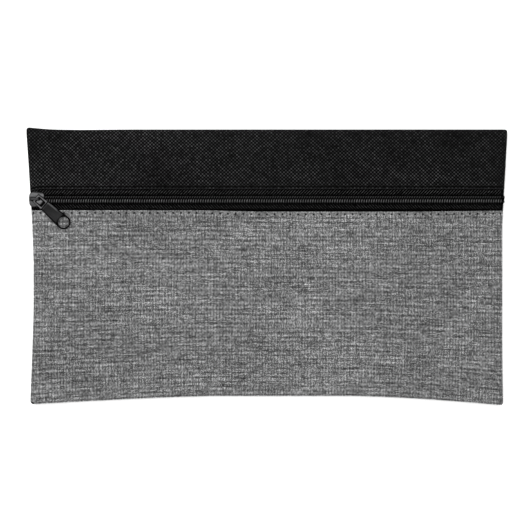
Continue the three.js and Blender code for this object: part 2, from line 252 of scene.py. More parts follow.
def closed_sheet(name, outer, inner, uv, material):
    """Cloth of real thickness: two matching grids of points, joined round their rim."""
    rows, columns = outer.shape[:2]
    size = rows * columns
    faces = grid_faces(rows, columns) + grid_faces(rows, columns, size, flip=True)
    top = list(range(columns))
    right = [r * columns + columns - 1 for r in range(1, rows)]
    bottom = [size - 1 - c for c in range(1, columns)]
    left = [r * columns for r in range(rows - 2, 0, -1)]
    rim = top + right + bottom + left
    faces += [(b, a, a + size, b + size) for a, b in zip(rim, rim[1:] + rim[:1])]
    points = np.concatenate([outer.reshape(-1, 3), inner.reshape(-1, 3)])
    flat = uv.reshape(-1, 2)
    return new_object(name, points, faces, material, np.concatenate([flat, flat]))


def tube(path, radius, sides):
    """The points and faces of a round wire along a path, closed at both ends."""
    path = np.asarray(path, float)
    ahead = headings(path)
    radius = np.broadcast_to(radius, len(path)).reshape(-1, 1, 1)
    up = np.array([0, 0, 1.0]) - ahead * ahead[:, 2:3]
    weak = np.linalg.norm(up, axis=1) < 0.05
    up[weak] = [0, 1, 0]
    across = np.cross(ahead, up)
    across /= np.linalg.norm(across, axis=1, keepdims=True)
    up = np.cross(across, ahead)
    turns = np.linspace(0, 2 * math.pi, sides, endpoint=False)[None, :, None]
    ring = np.cos(turns) * across[:, None] + np.sin(turns) * up[:, None]
    points = (path[:, None] + radius * ring).reshape(-1, 3)
    faces = grid_faces(len(path), sides, around=True, flip=True)
    last = len(points) - sides
    faces.append(tuple(range(sides)))
    faces.append(tuple(range(len(points) - 1, last - 1, -1)))
    return points, faces


def joined(parts):
    """Several (points, faces) pairs as one."""
    points = []
    faces = []
    count = 0
    for some_points, some_faces in parts:
        points.append(some_points)
        faces += [tuple(i + count for i in face) for face in some_faces]
        count += len(some_points)
    return np.concatenate(points), faces


# ---------------------------------------------------------------- the cloth's shape

def end_x(side, y):
    """How far the left (-1) or right (+1) edge stands from the middle at height y."""
    waist = WAIST_LEFT if side < 0 else WAIST_RIGHT
    shoulder = share(*SHOULDER_Y[side], y) ** SHOULDER_POWER[side]
    foot = share(*FOOT_FLARE_Y, y) ** FOOT_POWER[side]
    return waist + (TOP_HALF - waist) * shoulder + FOOT_FLARE[side] * foot


def top_y(x):
    ear = TOP_EAR * np.exp(-(((x + TOP_HALF) / TOP_EAR_WIDTH) ** 2))
    dip = TOP_DIP["depth"] * np.exp(-(((x - TOP_DIP["x"]) / TOP_DIP["width"]) ** 2))
    return TOP_Y + ear - dip


def bottom_y(x):
    drops = [
        BOTTOM_DROP[side] * share(BOTTOM_START[side], end, x) ** BOTTOM_POWER[side]
        for side, end in ((-1, -WAIST_LEFT), (1, WAIST_RIGHT))
    ]
    return BOTTOM_Y - drops[0] - drops[1]


def upper_hem_y(x):
    """The upper hem's edge, which turns down a little where the slider's end was sewn in."""
    return UPPER_HEM_Y - 0.7 * share(5 - WAIST_LEFT, -WAIST_LEFT, x) ** 1.5


def lower_hem_y(x):
    sunk = share(-38, 2, x)
    return LOWER_HEM_Y - HEM_SAG * sunk * sunk * (3 - 2 * sunk) * (1 - 0.6 * share(75, WAIST_RIGHT, x))


def hem_across(inward):
    return np.sin(math.pi / 2 * share(0, HEM_RISE_RUN, inward))


def belly_across(inward):
    return 1 - (1 - share(0, BELLY_RUN, inward)) ** 2


def waves(x, y):
    """The slow unevenness of cloth that was sewn, turned out and pressed by hand."""
    slow = np.sin(x / 19 + 0.8 * np.sin(y / 23)) * np.sin(y / 15 + 0.7 * np.sin(x / 37) + 0.6)
    quick = np.sin(x / 8.3 + y / 17 + 1.1) * np.sin(y / 7.1 - x / 29)
    return 0.16 * slow + 0.05 * quick


def seam_puckers(along, inward, reach=6.5):
    """Short ridges that run in from a seam, where its stitches gather the cloth."""
    ridges = np.sin(along * 0.83 + 1.2 * np.sin(along * 0.21)) + 0.6 * np.sin(along * 1.47 + 0.4)
    return 0.13 * ridges * np.exp(-inward / reach) * share(0, 1.2, inward)


def seam_allowance(inward, up):
    """The low step where the cloth lies over the seams' turned edges inside."""
    nearest = np.minimum(inward, up)
    width = ALLOWANCE["width"]
    return ALLOWANCE["rise"] * share(0, 1.5, nearest) * share(width + 0.9, width, nearest)


def front_rise(x, y, inward):
    up = y - bottom_y(x)
    towards_foot = 1 - share(LOWER_HEM_Y - HEM_DEPTH, BOTTOM_Y, y)
    belly = (1 - np.cos(2 * math.pi * share(LOWER_HEM_Y - HEM_DEPTH / 2, BOTTOM_Y, y))) / 2
    rise = HEM_RISE * hem_across(inward) * towards_foot + BELLY_RISE * belly * belly_across(inward)
    free = share(0, 12, inward) * share(LOWER_HEM_Y + 2, LOWER_HEM_Y - 22, y) * share(0, 14, up)
    ends = seam_puckers(y, inward) * share(LOWER_HEM_Y, LOWER_HEM_Y - 6, y)
    foot = seam_puckers(x, up, 5) * share(0, 6, inward)
    return rise + waves(x, y) * free * 2 + ends + foot + seam_allowance(inward, up)


def band_rise(x, y, inward):
    up = share(UPPER_HEM_Y + HEM_DEPTH, TOP_Y - EDGE_RADIUS, y)
    swell = BAND_RISE * np.sin(math.pi * up) * belly_across(inward)
    rise = HEM_RISE * hem_across(inward) * (1 - up) + swell
    free = share(0, 10, inward) * share(UPPER_HEM_Y + 2, UPPER_HEM_Y + 12, y) * share(0, 8, top_y(x) - y)
    ends = seam_puckers(y, inward) * share(UPPER_HEM_Y, UPPER_HEM_Y + 5, y)
    return rise + waves(x + 60, y + 20) * free + ends


def back_drop(x, y, inward):
    nearest = np.minimum(inward, np.minimum(y - BOTTOM_Y, TOP_Y - y))
    drop = BACK_DROP * np.sin(math.pi / 2 * share(EDGE_RADIUS, BACK_DROP_RUN, nearest))
    lift = 0.5 * (waves(x + 25, y - 40) + 0.21) * share(0, BACK_DROP_RUN, nearest)
    return drop - np.maximum(lift, 0)


def columns_across():
    """Across the cloth: how far round an end's roll each line of points is, and its place between them."""
    turns = np.sin(np.linspace(math.pi / 2, 0, ROLL_STEPS, endpoint=False))
    flat = np.linspace(-1, 1, int(2 * WAIST_LEFT / COLUMN_WIDTH))
    roll = np.concatenate([-turns, np.zeros(len(flat)), turns[::-1]])
    place = np.concatenate([-np.ones(ROLL_STEPS), flat, np.ones(ROLL_STEPS)])
    return roll, place


ROLL, PLACE = columns_across()
PLAN_X = PLACE * (WAIST_LEFT + WAIST_RIGHT) / 2 + (WAIST_RIGHT - WAIST_LEFT) / 2


def cloth_row(y, face, rise, radius, lower=0.0, over_top=0.0, over_bottom=0.0):
    """One row of cloth points from end to end. `radius` is the edge roll's radius for this face of
    the cloth, `lower` is how far below the outer face a hem's turned layer lies, and over_top and
    over_bottom go from 0 to 1 as the row rolls over the edge."""
    over = max(over_top, over_bottom)
    round_end = np.abs(ROLL)
    towards_end = round_end * math.sqrt(1 - over**2 / 2)
    towards_edge = over * np.sqrt(1 - round_end**2 / 2)
    height = np.sqrt(np.maximum(0, 1 - towards_end**2 - towards_edge**2))
    left = EDGE_RADIUS - end_x(-1, y)
    right = end_x(1, y) - EDGE_RADIUS
    flat_x = left + (right - left) * (PLACE + 1) / 2
    x = flat_x + np.sign(ROLL) * radius * towards_end
    inward = EDGE_RADIUS * (1 - round_end) + np.minimum(flat_x - left, right - flat_x)
    if over_top > 0:
        y = top_y(PLAN_X) - EDGE_RADIUS + radius * towards_edge
    elif over_bottom > 0:
        y = bottom_y(PLAN_X) + EDGE_RADIUS - radius * towards_edge
    climb = rise(x, y, inward) if rise is not None else 0
    lift = SEAM_GAP * (1 - over_top) + (radius - lower) * height + climb
    z = SEAM_Z + face * lift
    return np.stack([x, np.broadcast_to(y, x.shape), z], axis=1)


def flat_ys(start, end, width=ROW_WIDTH):
    """Rows from start to end, where either may vary along the cloth."""
    count = int(np.max(np.abs(np.asarray(start) - np.asarray(end))) / width) + 1
    return [start + (end - start) * step / count for step in range(count + 1)]


def hem_rows(edge, way, depths):
    """A turned hem, from its raw edge round its fold: each row's Y and its depth below the cloth's
    outer face. `way` is the direction from the hem's edge into the cloth, and depths are those of
    the turned layer's face and of the fold's middle."""
    turned, fold = depths
    reach = turned - fold
    rows = [(edge + way * (CLOTH + inset), turned) for inset in np.linspace(HEM_DEPTH, 0, 9)]
    for angle in np.linspace(0, math.pi, 9)[1:]:
        out = reach * math.sin(angle)
        rows.append((edge + way * (CLOTH - out), fold + reach * math.cos(angle)))
    return rows


def cloth_rows(panel, radius):
    """Every row of one face of a panel, from its hem's raw edge to the bottom seam."""
    turned = 2 * CLOTH if radius == EDGE_RADIUS else CLOTH + 0.03
    rows = []
    rolls = np.sin(np.linspace(0, math.pi / 2, ROLL_STEPS + 1))[1:]
    front = panel == "front"
    edge = lower_hem_y(PLAN_X) if front else upper_hem_y(PLAN_X)
    way = -1 if front else 1
    rise = front_rise if front else band_rise
    for y, depth in hem_rows(edge, way, (turned, CLOTH)):
        rows.append(cloth_row(y, 1, rise, EDGE_RADIUS, lower=depth))
    start = edge + way * CLOTH
    stitch = edge + way * (TOPSTITCH_INSET + 1.4)
    if front:
        end = bottom_y(PLAN_X) + EDGE_RADIUS
        ys = flat_ys(start, stitch, 0.35)[1:] + flat_ys(stitch, end)[1:]
        rows += [cloth_row(y, 1, rise, radius) for y in ys]
        rows += [cloth_row(0, 1, None, radius, over_bottom=over) for over in rolls]
        return np.array(rows)
    top = top_y(PLAN_X) - EDGE_RADIUS
    bottom = bottom_y(PLAN_X) + EDGE_RADIUS
    ys = flat_ys(start, stitch, 0.35)[1:] + flat_ys(stitch, top)[1:]
    rows += [cloth_row(y, 1, rise, radius) for y in ys]
    rows += [cloth_row(TOP_Y, 1, None, radius, over_top=over) for over in rolls]
    rows += [cloth_row(TOP_Y, -1, None, radius, over_top=over) for over in rolls[-2::-1]]
    rows += [cloth_row(y, -1, back_drop, radius) for y in flat_ys(top, bottom)]
    rows += [cloth_row(BOTTOM_Y, -1, None, radius, over_bottom=over) for over in rolls]
    return np.array(rows)


def cloth_uv(points):
    """Cloth coordinates in millimetres: x along the case, and the length of cloth from its hem."""
    steps = np.linalg.norm(np.diff(points, axis=0), axis=2)
    along = np.concatenate([np.zeros((1, points.shape[1])), np.cumsum(steps, axis=0)])
    v = np.broadcast_to(along[:, points.shape[1] // 2][:, None], points.shape[:2])
    row_steps = np.linalg.norm(np.diff(points, axis=1), axis=2)
    u = np.concatenate([np.zeros((points.shape[0], 1)), np.cumsum(row_steps, axis=1)], axis=1)
    middles = [np.interp(0, row[:, 0], lengths) for row, lengths in zip(points, u)]
    return np.stack([u - np.array(middles)[:, None], v], axis=2)


def panel_piece(name, panel, material):
    outer = cloth_rows(panel, EDGE_RADIUS)
    inner = cloth_rows(panel, EDGE_RADIUS - CLOTH)
    uv = cloth_uv(outer)
    if panel == "front":
        outer, inner, uv = outer[:, ::-1], inner[:, ::-1], uv[:, ::-1]
    return closed_sheet(name, outer, inner, uv, material)


# ---------------------------------------------------------------- materials

NOISE_RANGE = (0.3, 0.7)
OXFORD_PITCH = (0.905, 0.87)
HEATHER_PITCH = (0.5, 0.52)
HEATHER_BEAT = {"u": 1.51, "v": 2.3}
TWILL_PITCH = 1.5
TWILL_YARN = 0.3
PLY_PITCH = 0.45
# Each coil's tone and painted light: painted shade darkens it past "edge" towards its tape, "body" is its
# tone, and "heads" is the painted highlight on its heads.
NYLON_TONE_AND_PAINTED_LIGHT = {
    -1: {"edge": (2.3, 1.7), "body": 0.02, "heads": 0.045},
    1: {"edge": (1.7, 1.3), "body": 0.012, "heads": 0.0},
}

# Places along the cloth from a hem's raw edge: where its fold has come round to face up, and its
# topstitch.
FOLD_LINE = HEM_DEPTH + math.pi * CLOTH
STITCH_LINE = FOLD_LINE + TOPSTITCH_INSET - CLOTH
UPPER_STITCH_LINE = FOLD_LINE + UPPER_STITCH_INSET - CLOTH


class Value:
    """A number that a material's nodes work out at each point. Arithmetic on it adds nodes."""

    def __init__(self, shade, socket):
        self.shade = shade
        self.socket = socket

    def __add__(self, other):
        return self.shade.math("ADD", self, other)

    def __sub__(self, other):
        return self.shade.math("SUBTRACT", self, other)

    def __mul__(self, other):
        return self.shade.math("MULTIPLY", self, other)

    def __truediv__(self, other):
        return self.shade.math("DIVIDE", self, other)

    def __abs__(self):
        return self.shade.math("ABSOLUTE", self)

    def floor(self):
        return self.shade.math("FLOOR", self)

    def ridges(self, pitch):
        """A sine that crosses zero at every pitch."""
        return self.shade.math("SINE", self * (math.pi / pitch))

    def ramp(self, low, high, to_low=0.0, to_high=1.0):
        """Runs evenly from to_low at low to to_high at high, and is level beyond them."""
        inputs = {"Value": self, "From Min": low, "From Max": high, "To Min": to_low, "To Max": to_high}
        return self.shade.node("ShaderNodeMapRange", inputs, clamp=True)

    def over(self, low, high):
        """A noise's usual range brought to low and high."""
        return self.ramp(*NOISE_RANGE, low, high)

    def near(self, line, half):
        """1 close to `line`, fading to 0 at `half` from it."""
        return abs(self - line).ramp(half, half * 0.5)

    def mix(self, a, b):
        """a to b as this goes from 0 to 1."""
        return self.shade.node("ShaderNodeMix", {0: self, 2: a, 3: b}, data_type="FLOAT")


class Shade:
    """One material and its nodes."""

    def __init__(self, name):
        self.material = bpy.data.materials.new(name)
        self.material.use_nodes = True
        self.tree = self.material.node_tree
        self.surface = self.tree.nodes["Principled BSDF"]

    def node(self, kind, inputs, output=0, **settings):
        """Adds a node with these inputs and settings, and gives back one of its outputs."""
        made = self.tree.nodes.new(kind)
        for key, value in settings.items():
            setattr(made, key, value)
        for key, value in inputs.items():
            self.give(made.inputs[key], value)
        return Value(self, made.outputs[output])

    def give(self, socket, value):
        if isinstance(value, Value):
            self.tree.links.new(value.socket, socket)
        else:
            socket.default_value = value

    def math(self, operation, *values):
        return self.node("ShaderNodeMath", dict(enumerate(values)), operation=operation)

    def parts(self, vector):
        split = self.tree.nodes.new("ShaderNodeSeparateXYZ")
        self.give(split.inputs[0], vector)
        return [Value(self, socket) for socket in split.outputs]

    def cloth_places(self):
        """Cloth coordinates in millimetres."""
        u, v, _ = self.parts(self.node("ShaderNodeUVMap", {}, uv_map="cloth"))
        return u * (1 / MM), v * (1 / MM)

    def places(self):
        """The object's own coordinates in millimetres."""
        return [part * (1 / MM) for part in self.parts(self.node("ShaderNodeTexCoord", {}, "Object"))]

    def upward(self):
        """How squarely the surface faces up or down, from 0 to 1."""
        return abs(self.parts(self.node("ShaderNodeTexCoord", {}, "Normal"))[2])

    def vector(self, x, y, z=0.0):
        return self.node("ShaderNodeCombineXYZ", {0: x, 1: y, 2: z})

    def noise(self, x, y, z=0.0, detail=2.0, roughness=0.5):
        inputs = {"Vector": self.vector(x, y, z), "Scale": 1.0, "Detail": detail, "Roughness": roughness}
        return self.node("ShaderNodeTexNoise", inputs)

    def solid_noise(self, scale, detail, roughness=0.5):
        """Noise through the object's own space, at `scale` to the millimetre."""
        x, y, z = self.places()
        return self.noise(x * scale, y * scale, z * scale, detail, roughness)

    def speckle(self, x, y):
        """A number of its own for each whole x and y."""
        place = self.vector(x.floor(), y.floor())
        return self.node("ShaderNodeTexWhiteNoise", {"Vector": place}, noise_dimensions="2D")

    def bump(self, height, depth):
        """The surface raised by height times depth millimetres."""
        raised = {"Height": height, "Distance": depth * MM, "Strength": 1.0}
        self.give(self.surface.inputs["Normal"], self.node("ShaderNodeBump", raised))

    def finish(self, tone, roughness, specular, tint=(1, 1, 1), metallic=0.0):
        """The material in a grey of this tone, with a faint tint."""
        channels = {key: tone * part for key, part in zip(("Red", "Green", "Blue"), tint)}
        looks = {
            "Base Color": self.node("ShaderNodeCombineColor", channels),
            "Roughness": roughness,
            "Specular IOR Level": specular,
            "Metallic": metallic,
        }
        for key, value in looks.items():
            self.give(self.surface.inputs[key], value)
        return self.material


def plain_weave(shade, u, v, pitch):
    """A plain weave: how high the yarn stands, and whether it is the warp (1) or the weft (0).
    pitch is the spacing of the warp yarns and of the weft yarns."""
    product = u.ridges(pitch[0]) * v.ridges(pitch[1])
    return shade.math("POWER", abs(product), 0.6), product.ramp(-0.06, 0.06)


def yarns(shade, u, v, pitch, step):
    """The number of the warp yarn and of the weft yarn at each point, counted in steps, and a number
    of its own for each crossing."""
    column = u * (1 / pitch[0])
    row = v * (1 / pitch[1])
    return column.floor() * step, row.floor() * step, shade.speckle(column, row)


def stitch_holes(shade, u, v, line, radius):
    """1 in each needle hole of a stitch line that runs along u at v = line."""
    cell = shade.math("WRAP", u, STITCH_PITCH / 2, -STITCH_PITCH / 2)
    off = v - line
    return shade.math("SQRT", cell * cell + off * off).ramp(radius, radius * 0.55)


def oxford_cloth():
    """Black oxford cloth: a basket weave of paired yarns, bright where the weft lies on top."""
    shade = Shade("black_oxford_cloth")
    u, v = shade.cloth_places()
    height, warp = plain_weave(shade, u, v, OXFORD_PITCH)
    column, row, crossing = yarns(shade, u, v, OXFORD_PITCH, 5.3)
    weft_tone = shade.noise(u * 0.3, row).over(0.012, 0.025)
    warp_tone = shade.noise(column, v * 0.3).over(0.0, 0.001)
    tone = warp.mix(weft_tone, warp_tone) * crossing.ramp(0, 1, 0.5, 1.5)
    # Painted shade in the hollows between the yarns, where the tone falls to black.
    tone = tone * height.ramp(0.0, 0.8, 0.0, 1.1)
    tone = tone * shade.noise(u * 0.045, v * 0.045, 3.0, 3.0).over(0.7, 1.3)
    # Painted shade: the cloth darkens from left to right, where the light falls off across the case.
    painted_falloff = u.ramp(-WAIST_LEFT, WAIST_RIGHT, 1.1, 0.82)
    # Painted highlight along the hem's fold, where it rounds over into the light.
    painted_fold_highlight = v.near(FOLD_LINE - 0.4, 0.4) * 0.004
    # Painted shade: the tone falls to black in the groove that the upper topstitch sinks into.
    groove = v.near(UPPER_STITCH_LINE + 0.15, 0.5)
    tone = (tone * painted_falloff + painted_fold_highlight) * groove.ramp(0, 1, 1.0, 0.0)
    # Painted shade: each needle hole is painted near black.
    holes = stitch_holes(shade, u, v, UPPER_STITCH_LINE, 0.6)
    shade.bump(height - holes * 2, 0.12)
    return shade.finish(holes.mix(tone, 0.0005), 0.75, 0.02, (1, 1, 1.02))


def heather_cloth():
    """Grey heather cloth: slubbed yarns that run light and dark along their length, both ways."""
    shade = Shade("grey_heather_cloth")
    u, v = shade.cloth_places()
    height = plain_weave(shade, u, v, HEATHER_PITCH)[0]
    column, row, crossing = yarns(shade, u, v, HEATHER_PITCH, 4.37)
    long_weft = shade.noise(u * 0.06, row, 1.0, 3.0, 0.6)
    short_weft = shade.noise(u * 0.3, row, 7.0)
    long_warp = shade.noise(column, v * 0.1, 13.0, 3.0, 0.6)
    short_warp = shade.noise(column, v * 0.4, 19.0)
    weft = (long_weft * 0.55 + short_weft * 0.45).ramp(0.33, 0.67, 0.22, 1.78)
    warp = (long_warp * 0.5 + short_warp * 0.5).ramp(0.33, 0.67, 0.55, 1.45)
    tone = weft * warp * crossing.ramp(0.1, 0.9, 0.48, 1.52)
    beat_u = shade.math("COSINE", u * (2 * math.pi / HEATHER_BEAT["u"]))
    beat_v = shade.math("COSINE", v * (2 * math.pi / HEATHER_BEAT["v"]))
    tone = tone * (beat_u * 0.2 + beat_v * 0.22 + 1)
    # Painted shade in the hollows between the yarns.
    tone = tone * height.ramp(0.0, 0.7, 0.75, 1.05)
    tone = tone * shade.noise(u * 0.05, v * 0.08, 5.0, 1.0).over(0.96, 1.04)
    tone = tone * shade.noise(u * 0.018, v * 0.03, 9.0, 0.0).over(0.92, 1.08)
    # Painted light: faces that tilt away from straight up, as round the rolled edges, are painted up to 2.8
    # times paler.
    painted_side_light = shade.upward().ramp(0.15, 0.8, 2.8, 1.0)
    # Painted highlight along the hem's fold, just inside its edge.
    painted_fold_light = v.near(FOLD_LINE + 0.2, 0.8) * 0.022
    tone = tone * painted_side_light * 0.106 + painted_fold_light
    # Painted shade: each needle hole is painted dark.
    holes = stitch_holes(shade, u, v, STITCH_LINE, 0.66)
    shade.bump(height - holes * 2, 0.08)
    return shade.finish(holes.mix(tone, 0.006), 0.85, 0.06, (0.995, 1, 1.005))


def twill_tape(lean, painted_ridge_highlight):
    """Black zipper tape, woven as a fine twill whose ridges lean one way, with a painted highlight on the
    ridge tops. Painted shadow darkens it beside the coil and under the hem's edge, so it shows pale only
    between the coil and the hem."""
    shade = Shade("zipper_tape_twill")
    u, v = shade.cloth_places()
    # Painted highlight: only each ridge's top takes the tape's tone.
    ridge = abs((u + v * -lean).ridges(TWILL_PITCH))
    yarn = abs(u.ridges(TWILL_YARN))
    uneven = shade.noise(u * 1.2, v * 1.2, 2.0, 3.0)
    away = abs(v)
    # Painted shadow beside the coil and under the hem's edge.
    painted_shadow_factor = shade.math("MINIMUM", away.ramp(2.2, 3.3, 0.25), away.ramp(5.0, 4.2, 0.15))
    tone = ridge.ramp(0.75, 1.0, 0.0, painted_ridge_highlight) * uneven.ramp(0.35, 0.65, 0.15, 1.85) * painted_shadow_factor
    shade.bump(ridge * 0.7 + yarn * 0.3, 0.1)
    return shade.finish(tone, 0.85, 0.0)


def nylon(side):
    """Black nylon filament, drawn smooth. The lower coil's heads carry a painted highlight. Painted shade
    darkens both coils at the middle line, towards their tapes and below their tops."""
    shade = Shade(f"coil_nylon_{zip_side(side)}")
    tone_and_light = NYLON_TONE_AND_PAINTED_LIGHT[side]
    x, y, z = shade.places()
    drawn = shade.noise(x * 3.0, y * 0.8, z * 3.0, 3.0)
    off = abs(y - ZIP_Y)
    # Painted shade: dark towards the tape and at the middle line, where the coils meet.
    body = off.ramp(*tone_and_light["edge"], 0.0005, tone_and_light["body"]) * off.ramp(0.3, 0.9, 0.2, 1.0)
    # Painted highlight along the heads.
    heads = y.near(ZIP_Y - 0.6, 0.85) * tone_and_light["heads"]
    heads = heads * shade.noise(x * 0.25, 0.0).ramp(0.35, 0.65, 0.6, 1.5)
    # Painted shade: below the coil's top the tone falls to black, so only the tops stay lit.
    top = z.ramp(COIL_HIGH[2] - 0.3, COIL_HIGH[2] - 0.05)
    shade.bump(drawn, 0.02)
    return shade.finish((body + heads) * drawn.over(0.6, 1.4) * top, 0.6, 0.0)


def thread(name, tone):
    """Spun sewing thread: plies that wind round it, and loose fibre."""
    shade = Shade(name)
    x, y, z = shade.places()
    ply = abs((x + y * 0.8 + z * 1.3).ridges(PLY_PITCH))
    fibre = shade.solid_noise(4, 3.0)
    shade.bump(ply, 0.08)
    # Painted shade: the tone dips in the grooves between the plies.
    return shade.finish(ply.ramp(0, 1, 0.45, 1.15) * fibre.over(0.75, 1.25) * tone, 0.7, 0.0)


def gunmetal(shade, face, painted_side_shade, steep):
    """Die-cast zinc under dark lacquer, with the tone `face` on its flat faces. Painted shade makes it
    black on sides steeper than `steep`, and in corners."""
    grain = shade.solid_noise(2.2, 4.0, 0.6)
    fine = shade.solid_noise(9, 2.0)
    # Painted shade: steep sides and corners take the black side tone.
    flat = shade.upward().ramp(steep - 0.25, steep)
    tone = flat.mix(painted_side_shade, face) * grain.over(0.8, 1.2)
    shade.bump(grain + fine * 0.3, 0.03)
    return shade.finish(tone, grain.over(0.45, 0.32), 0.02, (1, 1, 1.02), metallic=flat * 0.6)


def pull_places(shade, place, turn):
    """How far a point is along the pull from its hinge, how far across it to its left when it lies
    flat, and its level."""
    x, y, z = shade.places()
    east = x - place[0]
    north = y - place[1]
    along = east * math.cos(turn) + north * math.sin(turn)
    across = east * -math.sin(turn) + north * math.cos(turn)
    return along, across, z


def slider_metal(place, turn):
    """The slider's lobes are painted pale as a highlight, the hollow between them is painted dark as
    shade, and its bridge is between. Under the pull lies a painted shadow of it, black but for a
    painted patch of light where the pull's window lets light through."""
    shade = Shade("slider_gunmetal")
    off = abs(shade.places()[1] - ZIP_Y)
    along, across, z = pull_places(shade, place, turn)
    # Painted shadow of the pull on the plate beneath it.
    under = along.ramp(-1.2, -0.6) * along.ramp(6.2, 5.4) * abs(across).ramp(2.75, 2.3)
    # Painted light where the pull's window lets light onto the plate.
    painted_window_light = along.near(2.0, 1.5) * across.near(-0.2, 1.35)
    # Painted highlight on the lobes and painted shade in the hollow, by distance from the middle line.
    plate_tone = under.mix(off.ramp(0.6, 1.5, 0.012, 0.044), painted_window_light.ramp(0.0, 1.0, 0.001, 0.075))
    face = z.ramp(8.4, 8.8).mix(plate_tone, 0.028)
    return gunmetal(shade, face, 0.002, 0.9)


def pull_metal(place, turn):
    """The pull's head is pale, its blade is near black, and the groove between them is painted black as
    shade. place is its hinge's middle and turn its heading. One edge of the blade carries a painted
    highlight, and painted shade lies black along its other edge and round its ring."""
    shade = Shade("pull_gunmetal")
    along, across, z = pull_places(shade, place, turn)
    head = along.ramp(PULL_GROOVE["x"] + 0.1, PULL_GROOVE["x"])
    top = place[2] + PULL_THICKNESS / 2
    blade = z.ramp(top - 0.2, top - 0.05, 0.008, 0.013)
    growth = (PULL_RING["outer"] - PULL_HEAD_HALF) / PULL_RING["x"]
    out = across / (along * growth + PULL_HEAD_HALF)
    # Painted highlight along the blade's lit edge.
    painted_edge_highlight = out.ramp(0.6, 0.72) * along.ramp(13, 11)
    # Painted shade: black along the blade's shadow-side edge and round the ring.
    whole = shade.math("MAXIMUM", out.ramp(-0.74, -0.8), along.ramp(14.5, 15.5))
    whole = shade.math("MAXIMUM", whole, out.ramp(0.8, 0.86) * along.ramp(10, 12))
    blade = whole.mix(painted_edge_highlight.mix(blade, 0.034), 0.0006)
    # Painted shade: the groove between head and blade is black.
    face = along.near(PULL_GROOVE["x"], 0.42).mix(head.mix(blade, 0.065), 0.0003)
    return gunmetal(shade, face, 0.0006, head.mix(0.97, 0.8))


def floor_paper():
    """The pale floor: matt white card."""
    shade = Shade("floor_card")
    x, y, _ = shade.places()
    tooth = shade.noise(x * 0.9, y * 0.9, 0.0, 4.0)
    shade.bump(tooth, 0.02)
    return shade.finish(tooth.over(0.9, 0.93), 0.9, 0.1)


# ---------------------------------------------------------------- the zipper

def zip_side(side):
    return "upper" if side > 0 else "lower"


def over_end(along, height):
    """X and Z of a point that lies `along` the zipper and `height` over the coils' middle level. The
    zipper runs flat, then bends down over each end of the pouch."""
    bend = np.where(along < 0, END_BEND[-1], END_BEND[1])
    start = CHAIN_END - bend
    angle = np.clip((np.abs(along) - start) / bend, 0, math.pi / 2)
    x = np.minimum(np.abs(along), start) + (bend + height) * np.sin(angle)
    z = COIL_LEVEL - bend + (bend + height) * np.cos(angle)
    return np.sign(along) * x, z


def tape_piece(side, half, material):
    """Half a tape's length. It lies flat under the hem and turns down into the seam at its end. The
    part that the hem hides stops short of the seam."""
    end = HALF_END[half]
    bend = END_BEND[end]
    start = CHAIN_END - bend
    turned = start + bend * math.pi / 2 * np.linspace(0, 1, 9)[1:]
    places = np.sort(end * np.concatenate([np.linspace(0, start, 96), turned]))
    along, y = np.meshgrid(places, np.linspace(TAPE_INNER, TAPE_HIGH[1] - ZIP_Y, 14))
    hidden = share(*TAPE_HIDDEN, y)
    length = CHAIN_END - (CHAIN_END - TAPE_HIDDEN_END) * hidden + 2 * (1 - hidden)
    along = end * np.minimum(np.abs(along), length)
    ripple = 0.03 * (1 + np.sin(along / 5.3 + y))
    height = TAPE_HIGH[2] - COIL_LEVEL - 0.02 - ripple
    grids = []
    for level in (height, height - TAPE_THICKNESS):
        x, z = over_end(along, level)
        grids.append(np.stack([x, ZIP_Y + side * y, z], axis=2))
    grids.append(np.stack([along, side * y], axis=2))
    if side < 0:
        grids = [grid[::-1] for grid in grids]
    return closed_sheet(f"zipper_tape_{zip_side(side)}_{half}", *grids, material)


def loops_of(half, side):
    """The places of one half's coil loops. The two coils are half a pitch apart."""
    start = COIL_LOW[0] + COIL_PITCH * (0.5 if side > 0 else 1.0)
    places = np.arange(start, CHAIN_END + 0.8, COIL_PITCH)
    return places[places < 0] if half == "left" else places[places >= 0]


def spread(along):
    """How far each coil is pushed off the middle line by the slider's post at its closed end."""
    return 0.75 * share(COIL_LOW[0] + 6.5, COIL_LOW[0] + 1.5, along)


def chain_path(side, along, y, height):
    """Points beside the zipper's middle line, where y and height are each taken from the coils' middle."""
    x, z = over_end(along, height)
    return np.stack([x, ZIP_Y + side * (y + spread(along)), z], axis=1)


def coil_piece(side, half, material):
    """One coil: a filament wound flat, whose loops swell into heads where they meet the other coil's."""
    places = loops_of(half, side)
    steps = 18
    turns = np.linspace(0, len(places), len(places) * steps + 1)
    angle = 2 * math.pi * turns
    along = places[0] - COIL_PITCH / 2 + COIL_PITCH * turns
    reach = (COIL_ROOT - COIL_HEAD) / 2 - COIL_WIRE
    around = np.sign(np.cos(angle)) * np.abs(np.cos(angle)) ** 0.8
    y = (COIL_ROOT + COIL_HEAD) / 2 + reach * around
    lift = (COIL_HIGH[2] - COIL_LOW[2]) / 2 - COIL_WIRE
    height = lift * np.sign(np.sin(angle)) * np.abs(np.sin(angle)) ** 0.7
    wire = COIL_WIRE * (1 + 0.2 * share(0.6, -1, around))
    points, faces = tube(chain_path(side, along, y, height), wire, 8)
    return new_object(f"zipper_coil_{zip_side(side)}_{half}", points, faces, material)


def filler_cord_piece(side, half, material):
    places = loops_of(half, side)
    along = np.arange(places[0] - 0.3, places[-1] + 0.3, 0.6)
    twist = 1 + 0.08 * np.sin(2 * math.pi * along / 1.2)
    points, faces = tube(chain_path(side, along, CORD["y"], 0 * along), CORD["radius"] * twist, 8)
    return new_object(f"coil_filler_cord_{zip_side(side)}_{half}", points, faces, material)


